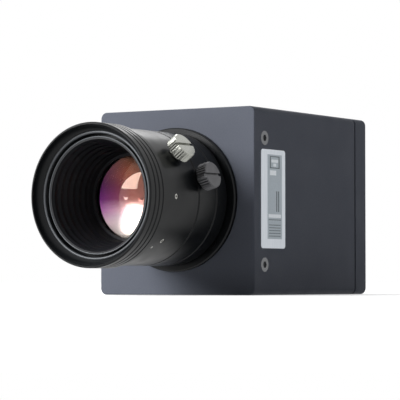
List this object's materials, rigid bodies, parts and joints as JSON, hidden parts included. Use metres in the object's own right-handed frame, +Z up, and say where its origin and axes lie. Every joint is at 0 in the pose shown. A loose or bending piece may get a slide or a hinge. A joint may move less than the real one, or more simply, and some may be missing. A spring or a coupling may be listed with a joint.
{
  "type": "machine vision camera",
  "caption": "Box-shaped industrial camera in a grey housing with a manual lens that has lockable focus and iris rings, rear sockets and a threaded base.",
  "frame": {"origin": "mouth of the tripod socket, in the middle of the flat base", "axes": "the lens looks along -Y, +X is to the right as its front is seen, +Z is up"},
  "size_m": [0.0566, 0.1275, 0.0575],
  "materials": {
    "grey_painted_aluminium": "satin fine powder coat",
    "black_rubber": "moulded",
    "stainless_steel": "machined",
    "black_steel": "black oxide",
    "clear_plastic": "moulded, polished",
    "silver_label": "brushed foil",
    "black_anodised_aluminium": "satin anodised",
    "bare_aluminium": "machined",
    "black_plastic": "moulded",
    "filter_glass": "polished",
    "alumina_ceramic": "fired",
    "silicon": "polished",
    "circuit_board": "solder mask",
    "nickel_brass": "nickel plated",
    "thermal_pad": "soft pad",
    "gold_contacts": "gold plated",
    "coated_glass": "coated, polished",
    "dark_plated_steel": "dark nickel plate",
    "bright_plated_steel": "bright nickel plate"
  },
  "bodies": {
    "camera": {"housing": "grey_painted_aluminium", "rear_cover": "grey_painted_aluminium", "gasket": "black_rubber", "socket_orings": "black_rubber", "cover_screws": "stainless_steel", "side_screws": "stainless_steel", "mount_screws": "black_steel", "io_board_screws": "stainless_steel", "light_pipes": "clear_plastic", "rating_label": "silver_label", "mount_flange": "black_anodised_aluminium", "sensor_carrier": "bare_aluminium", "filter_holder": "black_plastic", "filter_glass": "filter_glass", "sensor_cover_glass": "filter_glass", "sensor_package": "alumina_ceramic", "sensor_die": "silicon", "sensor_board": "circuit_board", "processor_board": "circuit_board", "io_board": "circuit_board", "board_posts": "nickel_brass", "socket_nuts": "nickel_brass", "processor_chip": "black_plastic", "memory_chips": "black_plastic", "board_links": "black_plastic", "thermal_pad": "thermal_pad", "heat_spreader": "bare_aluminium", "network_socket_shell": "nickel_brass", "power_socket_shell": "nickel_brass", "network_socket_insert": "black_plastic", "power_socket_insert": "black_plastic", "network_contacts": "gold_contacts", "power_contacts": "gold_contacts", "lens_mount": "nickel_brass", "main_barrel": "black_anodised_aluminium", "rear_retainer": "black_anodised_aluminium", "rear_glass": "coated_glass", "inner_glass": "coated_glass", "iris_seat": "black_steel", "iris_closer": "black_steel"},
    "iris": {"iris_ring": "black_anodised_aluminium", "iris_driver": "black_steel", "iris_link_pin": "stainless_steel"},
    "iris_lock": {"iris_lock_screw": "dark_plated_steel"},
    "focus": {"focus_ring": "black_anodised_aluminium", "set_screws": "stainless_steel"},
    "focus_lock": {"focus_lock_screw": "bright_plated_steel"},
    "front_cell": {"front_barrel": "black_anodised_aluminium", "front_hood": "black_anodised_aluminium", "second_glass": "coated_glass", "glass_spacer": "black_anodised_aluminium", "front_glass": "coated_glass", "front_retainer": "black_anodised_aluminium"},
    "blade_1": {"iris_blade_1": "black_steel"},
    "blade_2": {"iris_blade_2": "black_steel"},
    "blade_3": {"iris_blade_3": "black_steel"},
    "blade_4": {"iris_blade_4": "black_steel"},
    "blade_5": {"iris_blade_5": "black_steel"},
    "blade_6": {"iris_blade_6": "black_steel"}
  },
  "joints": [
    {"name": "focus_turn", "type": "hinge", "parent": "camera", "child": "focus", "pos_m": [0, -0.064, 0.0294], "axis": [0, -1, 0], "range_deg": [0, 150]},
    {"name": "front_cell_slide", "type": "slide", "parent": "camera", "child": "front_cell", "axis": [0, -1, 0], "range_m": [0, 0.0025]},
    {"name": "iris_turn", "type": "hinge", "parent": "camera", "child": "iris", "pos_m": [0, -0.05, 0.0294], "axis": [0, -1, 0], "range_deg": [0, 60]},
    {"name": "blade_1_swing", "type": "hinge", "parent": "camera", "child": "blade_1", "pos_m": [0.0135, -0.0454, 0.0294], "axis": [0, -1, 0], "range_deg": [0, 30]},
    {"name": "blade_2_swing", "type": "hinge", "parent": "camera", "child": "blade_2", "pos_m": [0.00675, -0.0454, 0.04109], "axis": [0, -1, 0], "range_deg": [0, 30]},
    {"name": "blade_3_swing", "type": "hinge", "parent": "camera", "child": "blade_3", "pos_m": [-0.00675, -0.0454, 0.04109], "axis": [0, -1, 0], "range_deg": [0, 30]},
    {"name": "blade_4_swing", "type": "hinge", "parent": "camera", "child": "blade_4", "pos_m": [-0.0135, -0.0454, 0.0294], "axis": [0, -1, 0], "range_deg": [0, 30]},
    {"name": "blade_5_swing", "type": "hinge", "parent": "camera", "child": "blade_5", "pos_m": [-0.00675, -0.0454, 0.01771], "axis": [0, -1, 0], "range_deg": [0, 30]},
    {"name": "blade_6_swing", "type": "hinge", "parent": "camera", "child": "blade_6", "pos_m": [0.00675, -0.0454, 0.01771], "axis": [0, -1, 0], "range_deg": [0, 30]},
    {"name": "focus_lock_turn", "type": "hinge", "parent": "focus", "child": "focus_lock", "pos_m": [0.01757, -0.0622, 0.04264], "axis": [0.7986, 0, 0.6018], "range_deg": [0, 540]},
    {"name": "iris_lock_turn", "type": "hinge", "parent": "iris", "child": "iris_lock", "pos_m": [0.02125, -0.0533, 0.03509], "axis": [0.9659, 0, 0.2588], "range_deg": [0, 540]}
  ],
  "couplings": [
    {"joint": "front_cell_slide", "follows": "focus_turn", "m_per_rad": 0.00095},
    {"joint": "blade_1_swing", "follows": "iris_turn", "ratio": 0.4999},
    {"joint": "blade_2_swing", "follows": "iris_turn", "ratio": 0.4999},
    {"joint": "blade_3_swing", "follows": "iris_turn", "ratio": 0.4999},
    {"joint": "blade_4_swing", "follows": "iris_turn", "ratio": 0.4999},
    {"joint": "blade_5_swing", "follows": "iris_turn", "ratio": 0.4999},
    {"joint": "blade_6_swing", "follows": "iris_turn", "ratio": 0.4999}
  ]
}
